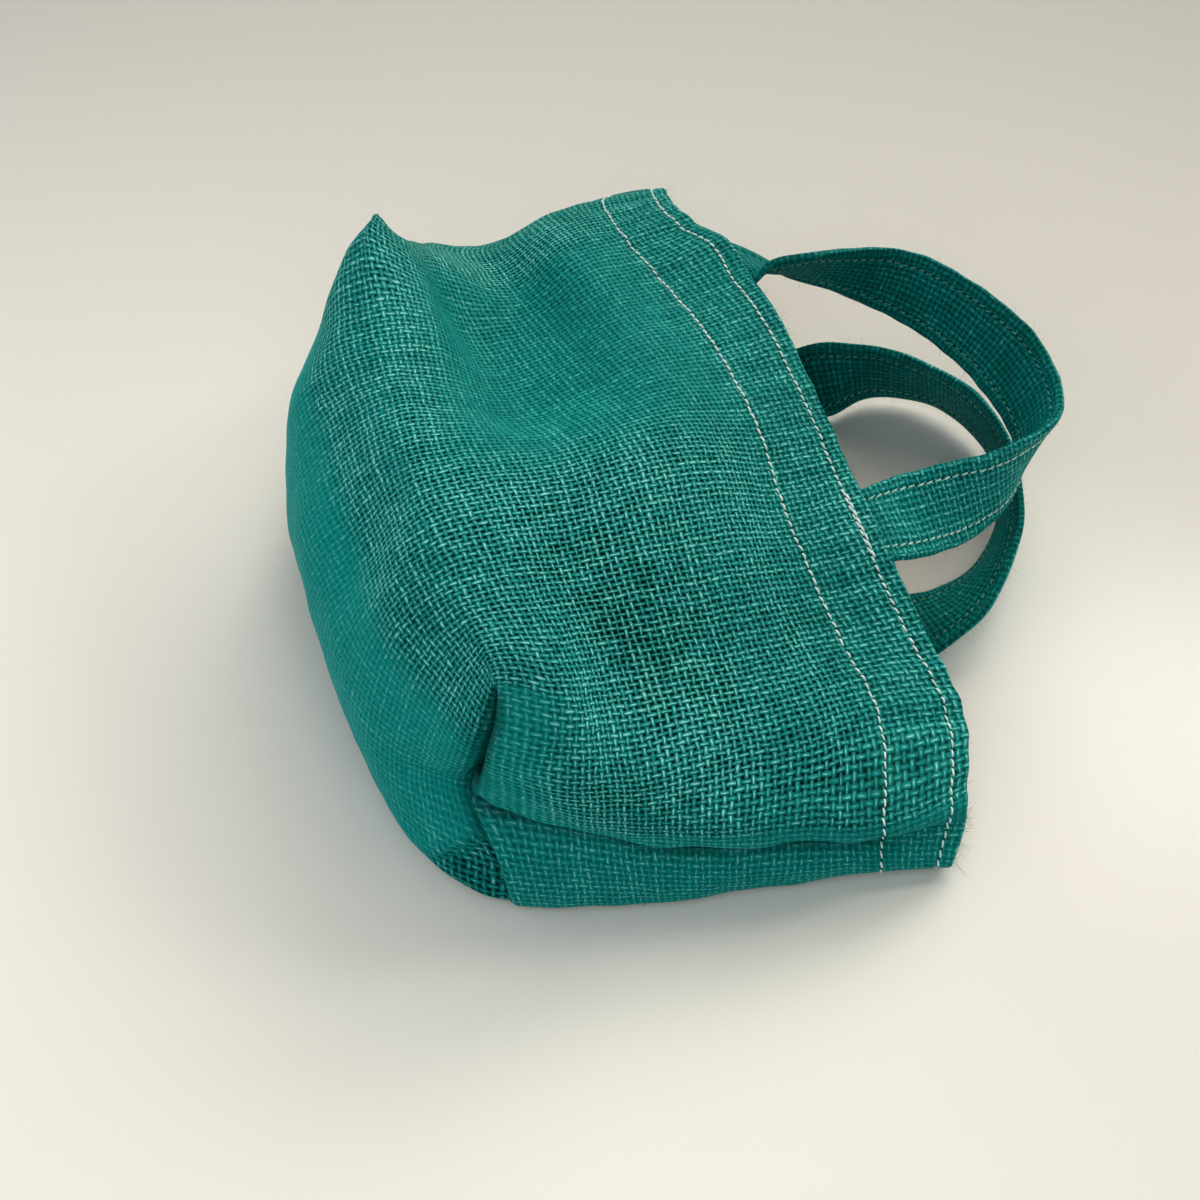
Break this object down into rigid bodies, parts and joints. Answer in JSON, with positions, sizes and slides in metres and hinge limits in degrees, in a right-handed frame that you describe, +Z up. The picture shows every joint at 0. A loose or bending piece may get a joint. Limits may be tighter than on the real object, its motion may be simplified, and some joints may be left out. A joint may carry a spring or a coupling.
{
  "type": "lunch bag",
  "caption": "Small open jute lunch bag with a boxed base and two short strap handles, lying on its back with its front panel gently sagging.",
  "frame": {"origin": "centre of the bounding box at the surface that the bag lies on", "axes": "+Z up from the back panel that it lies on, +X from the base towards the mouth, +Y along the mouth away from the viewer"},
  "size_m": [0.2328, 0.2564, 0.087],
  "materials": {
    "body_cloth": "coarse dyed plain weave",
    "handle_cloth": "coarse dyed plain weave, folded strap"
  },
  "bodies": {
    "root": {"body": "body_cloth", "handle_front": "handle_cloth", "handle_back": "handle_cloth"}
  },
  "joints": []
}
